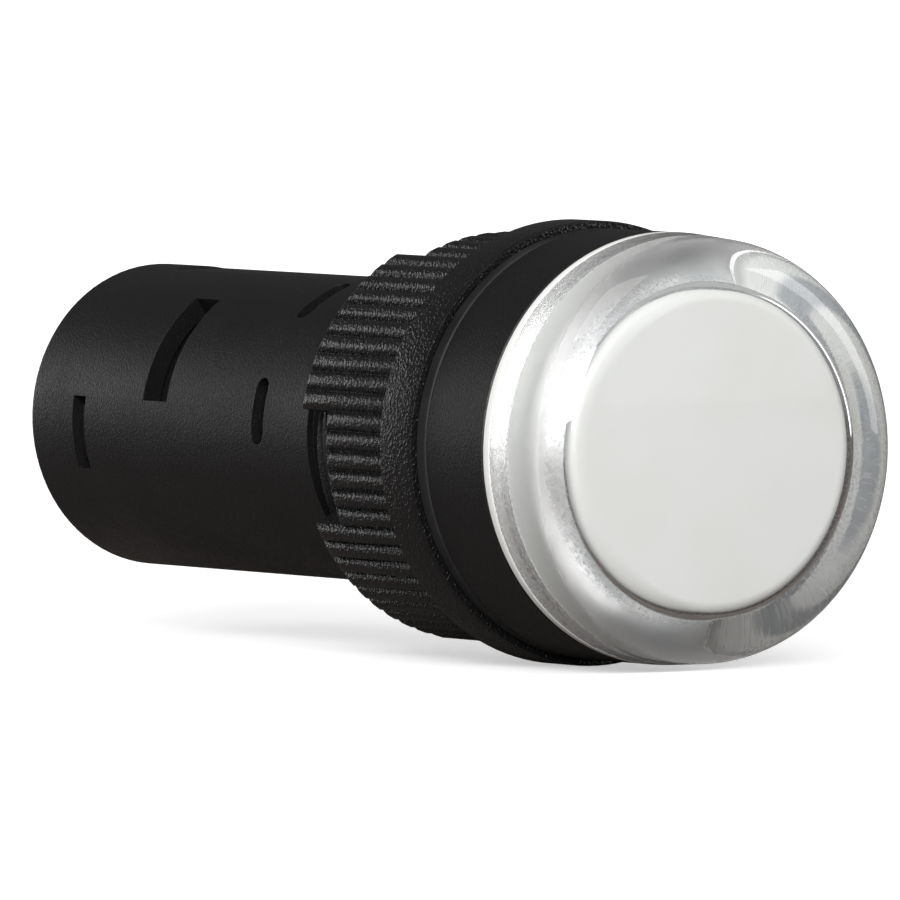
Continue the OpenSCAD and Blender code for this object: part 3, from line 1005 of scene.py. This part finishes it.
@dataclass
class LensAssembly:
    """Clear lens cap on the flange of the white diffuser, which snaps into the bezel."""

    outer: float = 14.5 * MM
    draft: float = 0.25 * MM
    rim: float = 3.4 * MM
    rim_slack: float = 0.01 * MM
    front: float = -15.1 * MM
    inside: float = -12.2 * MM
    inside_round: float = 0.5 * MM
    bezel_front: float = -7.1 * MM
    flange: float = 0.7 * MM
    flange_edge: float = 0.06 * MM
    gap: float = 0.02 * MM
    lens_edge: float = 0.08 * MM
    bore: float = 11.1 * MM
    spigot: float = 13.0 * MM
    spigot_wall: float = 1.2 * MM
    bead: float = 0.2 * MM
    bead_along: float = -5.38 * MM
    cup: float = 11.0 * MM
    cup_front: float = -12.05 * MM
    cup_wall: float = 0.9 * MM
    cup_edge: float = 1.0 * MM
    cup_foot: float = 0.15 * MM
    cup_inside: float = 0.3 * MM
    step_round: float = 0.2 * MM
    edge: float = 0.1 * MM
    foot: float = -3.7 * MM

    def lens(self) -> BMesh:
        """Builds the lens cap: thick flat front, rounded rim and drafted wall.

        Returns:
            The mesh.
        """
        side = self.outer - self.draft
        seat = self.bezel_front - self.flange - self.gap
        return turned([
            Corner(0.0, self.front),
            Corner(side, self.front, self.rim - self.rim_slack, steps=28),
            Corner(side, self.front + self.rim),
            Corner(self.outer, seat, self.lens_edge),
            Corner(self.bore, seat, self.edge),
            Corner(self.bore, self.inside, self.inside_round, steps=8),
            Corner(0.0, self.inside),
        ], closed=False)

    def diffuser(self) -> BMesh:
        """Builds the diffuser: round-edged cup, seat flange and snap spigot.

        Returns:
            The mesh.
        """
        inner = self.cup - self.cup_wall
        hollow = self.spigot - self.spigot_wall
        seat = self.bezel_front - self.flange
        step = seat + self.cup_wall
        return turned([
            Corner(0.0, self.cup_front),
            Corner(self.cup, self.cup_front, self.cup_edge, steps=10),
            Corner(self.cup, seat, self.cup_foot),
            Corner(self.outer, seat, self.edge),
            Corner(self.outer, self.bezel_front, self.flange_edge),
            Corner(self.spigot, self.bezel_front),
            Corner(self.spigot, self.bead_along - self.bead),
            Corner(self.spigot + self.bead, self.bead_along),
            Corner(self.spigot, self.bead_along + self.bead),
            Corner(self.spigot, self.foot, self.edge),
            Corner(hollow, self.foot, self.edge),
            Corner(hollow, step, self.step_round, steps=4),
            Corner(inner, step, self.step_round, steps=4),
            Corner(inner, self.cup_front + self.cup_wall, self.cup_inside, steps=5),
            Corner(0.0, self.cup_front + self.cup_wall),
        ], closed=False)

    def build(self, shop: Workshop) -> None:
        """Puts the lens and the diffuser in place of their CAD nodes.

        Args:
            shop: The nodes and finishes.
        """
        clear = shop.finish(ClearPlastic("clear_polycarbonate", self.bore, self.inside,
                                         self.bezel_front - self.flange))
        lens = place_piece("lens_cap", self.lens(), Body.LAMP, clear)
        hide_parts("lens")
        opal = shop.finish(OpalPlastic("opal_white"))
        cup = place_piece("diffuser_cup", self.diffuser(), Body.LAMP, opal)
        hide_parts("diffuser")


@dataclass
class Housing:
    """Black one-piece bezel and barrel with its outside thread."""

    pitch_surface: float = 10.68 * MM
    root: float = 9.95 * MM
    crest: float = 10.93 * MM
    thread_end: float = 19.3 * MM

    def build(self, shop: Workshop) -> None:
        """Cuts the thread's root into a copy of the housing and adds the ridge.

        Args:
            shop: The nodes and finishes.
        """
        shell = frame_copy(shop.nodes["housing"])
        set_radius(shell, self.root,
                   lambda radius, along: abs(radius - self.pitch_surface) < NEAR
                   and -NEAR < along < self.thread_end + NEAR)
        plastic = shop.finish(MouldedPlastic("black_housing"))
        body = place_piece("bezel_and_barrel", shell, Body.LAMP, plastic)
        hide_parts("housing")
        ridge = Thread(self.root, self.crest, THREAD_START, self.thread_end).build()
        place_piece("barrel_thread", ridge, Body.LAMP, plastic)


@dataclass
class LockNut:
    """Ribbed lock nut with spanner notches and its inside thread."""

    bore: float = 10.75 * MM
    root: float = 11.05 * MM
    crest: float = 10.52 * MM
    front: float = 1.12 * MM
    rear: float = 17.02 * MM
    chamfered: float = 14.65 * MM
    lip: float = 14.9 * MM
    inset: float = 0.5 * MM

    def build(self, shop: Workshop) -> None:
        """Widens the bore of a copy of the nut, sharpens its front edge and adds the ridge.

        Args:
            shop: The nodes and finishes.
        """
        shell = frame_copy(shop.nodes["lock_nut"])
        set_radius(shell, self.root, lambda radius, along: abs(radius - self.bore) < NEAR)
        set_radius(shell, self.lip,
                   lambda radius, along: abs(radius - self.chamfered) < NEAR
                   and abs(along - self.front) < NEAR)
        plastic = shop.finish(MouldedPlastic("black_nut", pebble=0.23 * MM, depth=0.034 * MM,
                                             rough=0.30, gloss=0.42, edge=0.05 * MM))
        body = place_piece("ribbed_nut", shell, Body.NUT, plastic)
        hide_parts("lock_nut")
        start = self.front + self.inset
        ridge = Thread(self.root, self.crest, start, self.rear - self.inset,
                       root_half=0.58 * MM, crest_half=0.29 * MM, side=Side.INWARD,
                       phase=self._phase(start)).build()
        place_piece("nut_thread", ridge, Body.NUT, plastic)

    @staticmethod
    def _phase(start: float) -> float:
        """Offset along the axis that sets a ridge midway between the barrel's turns."""
        return (THREAD_START - start) % THREAD_PITCH + THREAD_PITCH / 2.0


@dataclass
class Gasket:
    """Rubber gasket between the bezel and the panel."""

    bore: float = 10.98 * MM
    outer: float = 14.5 * MM
    rear: float = 1.1 * MM
    lip: float = 0.15 * MM
    bore_lip: float = 0.05 * MM

    def build(self, shop: Workshop) -> None:
        """Builds the gasket with soft lips.

        Args:
            shop: The nodes and finishes.
        """
        ring = turned([
            Corner(self.bore, 0.0, self.bore_lip, steps=2),
            Corner(self.outer, 0.0, self.lip, steps=4),
            Corner(self.outer, self.rear, self.lip, steps=4),
            Corner(self.bore, self.rear, self.bore_lip, steps=2),
        ])
        rubber = shop.finish(SoftRubber("gasket_rubber"))
        gasket = place_piece("gasket_ring", ring, Body.LAMP, rubber)
        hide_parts("panel_gasket")


@dataclass
class LightEngine:
    """LED board, its carrier and the driver board with its components."""

    window: float = -6.1 * MM
    leds: int = 6
    first_ring: float = 2.2 * MM
    ring_pitch: float = 1.15 * MM
    ring_width: float = 0.5 * MM
    bare_end: float = 0.3 * MM
    aluminium: Colour = (0.62, 0.62, 0.62)

    def build(self, shop: Workshop) -> None:
        """Dresses the CAD nodes of the light engine.

        Args:
            shop: The nodes and finishes.
        """
        shop.dress(MouldedPlastic("dark_carrier", colour=(0.012, 0.012, 0.0125),
                                  worn=(0.02, 0.02, 0.02), gloss=0.3, rough=0.42,
                                  depth=0.004 * MM), "board_carrier")
        shop.dress(CircuitBoard("white_board", mask=(0.78, 0.78, 0.76), track=(0.70, 0.70, 0.68)),
                   "led_board")
        shop.dress(LedPackage("led_body", self.window),
                   *(f"led_{index}" for index in range(1, self.leds + 1)))
        shop.dress(SmallMetal("tinned_copper", (0.80, 0.78, 0.74), (0.55, 0.46, 0.36), rough=0.25),
                   "led_lead_left", "led_lead_right")
        shop.dress(CircuitBoard("green_board", mask=(0.03, 0.16, 0.06), track=(0.05, 0.24, 0.09)),
                   "driver_board")
        self._capacitors(shop)
        self._resistor(shop, "bleed_resistor", (0.42, 0.52, 0.56),
                       (Ring.BROWN, Ring.BLACK, Ring.GOLD))
        self._resistor(shop, "series_resistor", (0.56, 0.46, 0.30),
                       (Ring.ORANGE, Ring.ORANGE, Ring.BROWN))
        shop.dress(MouldedPlastic("epoxy_black", colour=(0.016, 0.016, 0.017), rough=0.4,
                                  pebble=0.08 * MM, depth=0.003 * MM), "bridge_rectifier")

    def _capacitors(self, shop: Workshop) -> None:
        """Dresses the film capacitor and the sleeved one, whose rear end is bare metal.

        Args:
            shop: The nodes and finishes.
        """
        low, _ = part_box("dropper_capacitor")
        shop.dress(BandedBody("film_capacitor", (0.30, 0.055, 0.025), low.y), "dropper_capacitor")
        low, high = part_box("smoothing_capacitor")
        length = high.y - low.y
        bare = Band(length - self.bare_end, length + self.bare_end, self.aluminium)
        shop.dress(BandedBody("capacitor_sleeve", (0.02, 0.035, 0.10), low.y, (bare,), rough=0.25),
                   "smoothing_capacitor")

    def _resistor(self, shop: Workshop, name: str, base: Colour, rings: Sequence[Ring]) -> None:
        """Dresses a resistor.

        Args:
            shop: The nodes and finishes.
            name: The resistor's node.
            base: Its lacquer's colour.
            rings: Its rings, from the front.
        """
        low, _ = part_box(name)
        starts = [self.first_ring + place * self.ring_pitch for place in range(len(rings))]
        bands = tuple(Band(start, start + self.ring_width, ring.value)
                      for start, ring in zip(starts, rings))
        shop.dress(BandedBody(name + "_body", base, low.y, bands), name)


@dataclass
class Terminals:
    """Terminal block with its plates, clamp washers and screws."""

    steel: Colour = (0.74, 0.73, 0.70)

    def build(self, shop: Workshop) -> None:
        """Dresses the CAD nodes of the terminals.

        Args:
            shop: The nodes and finishes.
        """
        shop.dress(MouldedPlastic("black_block", colour=(0.014, 0.014, 0.015), rough=0.44,
                                  depth=0.006 * MM), "terminal_block")
        shop.dress(SmallMetal("brass_plate", (0.72, 0.55, 0.26), (0.42, 0.29, 0.14), rough=0.3),
                   "terminal_plate_left", "terminal_plate_right")
        shop.dress(SmallMetal("zinc_washer", self.steel, (0.58, 0.55, 0.46), rough=0.3),
                   "clamp_washer_left", "clamp_washer_right")
        shop.dress(SmallMetal("zinc_screw", self.steel, (0.60, 0.56, 0.46), rough=0.24,
                              size=4200.0), "terminal_screw_left", "terminal_screw_right")


# --- Studio ---


def stand(made: Object, aim: Vector, azimuth: float, elevation: float,
          distance: float) -> None:
    """Stands a camera or a softbox somewhere round the lamp, facing it.

    Args:
        made: The object.
        aim: The point that it faces.
        azimuth: Degrees from the lens's front, positive towards +X.
        elevation: Degrees above the horizontal.
        distance: Metres from the point.
    """
    turn, tilt = math.radians(azimuth), math.radians(elevation)
    made.location = aim + distance * Vector((
        math.sin(turn) * math.cos(tilt), -math.cos(turn) * math.cos(tilt), math.sin(tilt)))
    made.rotation_euler = (aim - made.location).to_track_quat("-Z", "Y").to_euler()


@dataclass(frozen=True)
class Softbox:
    """A rectangular studio lamp that faces the middle of the part."""

    name: str
    azimuth: float
    elevation: float
    distance: float
    width: float
    height: float
    power: float

    def build(self, aim: Vector) -> None:
        """Adds the lamp.

        Args:
            aim: The point that it faces.
        """
        data = bpy.data.lights.new(self.name, "AREA")
        data.shape = "RECTANGLE"
        data.size, data.size_y = self.width, self.height
        data.energy = self.power
        stand(add_object(self.name, data), aim, self.azimuth, self.elevation, self.distance)


@dataclass
class Studio:
    """Camera, floor, white surroundings and softboxes."""

    azimuth: float = -33.108
    elevation: float = 2.608
    distance: float = 1.36007
    focal: float = 800.0
    sensor: float = 36.0
    clip: Span = (0.05, 60.0)
    aim: Vector = field(default_factory=lambda: Vector((0.0, 19.147 * MM, -1.122 * MM)))
    floor_size: float = 9.0
    floor_cells: int = 8
    ambient: float = 0.34
    mirrored: float = 0.10
    refracted: float = 0.5
    boxes: tuple[Softbox, ...] = (
        Softbox("side_softbox", -166.0, 6.0, 0.9, 0.5, 0.3, 0.9),
        Softbox("front_softbox", -40.0, 22.0, 1.1, 0.7, 0.5, 14.8),
        Softbox("top_softbox", -60.0, 68.0, 1.0, 0.6, 0.6, 1.5),
        Softbox("right_softbox", 62.0, 18.0, 1.0, 0.4, 0.7, 2.6),
    )

    def camera(self) -> None:
        """Sets up the camera."""
        data = bpy.data.cameras.new("camera")
        data.lens, data.sensor_width = self.focal, self.sensor
        data.clip_start, data.clip_end = self.clip
        eye = add_object("camera", data)
        stand(eye, self.aim, self.azimuth, self.elevation, self.distance)
        bpy.context.scene.camera = eye

    def floor(self, shop: Workshop, height: float) -> None:
        """Adds a plain pale floor that looks white and keeps the shadow.

        Args:
            shop: The finishes.
            height: The floor's height in metres.
        """
        sheet = bmesh.new()
        bmesh.ops.create_grid(sheet, x_segments=self.floor_cells, y_segments=self.floor_cells,
                              size=self.floor_size)
        bmesh.ops.translate(sheet, verts=sheet.verts, vec=(0.0, 0.0, height))
        floor = add_mesh("floor", sheet, shop.finish(PaleFloor("pale_floor")))
        floor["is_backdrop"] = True

    def surroundings(self) -> None:
        """Makes the world: white to the eye, and a dim even light for the rest."""
        world = bpy.data.worlds.new("studio")
        bpy.context.scene.world = world
        world.use_nodes = True
        graph = Graph(world.node_tree)
        path = graph.node("ShaderNodeLightPath")
        dull = graph.blend(path.outputs["Is Glossy Ray"], self.ambient, self.mirrored)
        behind = graph.blend(path.outputs["Is Transmission Ray"], dull, self.refracted)
        strength = graph.blend(path.outputs["Is Camera Ray"], behind, 1.0)
        graph.show(graph.shader("ShaderNodeBackground", Color=(1.0, 1.0, 1.0), Strength=strength),
                   "ShaderNodeOutputWorld")

    def build(self, shop: Workshop, floor_height: float) -> None:
        """Sets up the whole studio.

        Args:
            shop: The finishes.
            floor_height: The floor's height in metres.
        """
        self.camera()
        self.floor(shop, floor_height)
        self.surroundings()
        for box in self.boxes:
            box.build(self.aim)
        bpy.context.scene.view_settings.view_transform = "Standard"


def corners_of(bounds: Iterable[Iterable[float]]) -> list[list[float]]:
    """Gives a box's lowest and highest corner as plain lists of numbers."""
    return [[float(value) for value in corner] for corner in bounds]


def main() -> None:
    """Builds the sub-assemblies in order, then the studio."""
    logging.basicConfig(level=logging.INFO, format="%(message)s")
    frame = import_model()
    cad = corners_of(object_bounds())
    shop = Workshop(frame["nodes"], SharedEffects())
    for assembly in (LensAssembly(), Housing(), LockNut(), Gasket(), LightEngine(), Terminals()):
        assembly.build(shop)
        LOG.info("%s done", type(assembly).__name__)
    Studio().build(shop, cad[0][2])


if __name__ == "__main__":
    main()
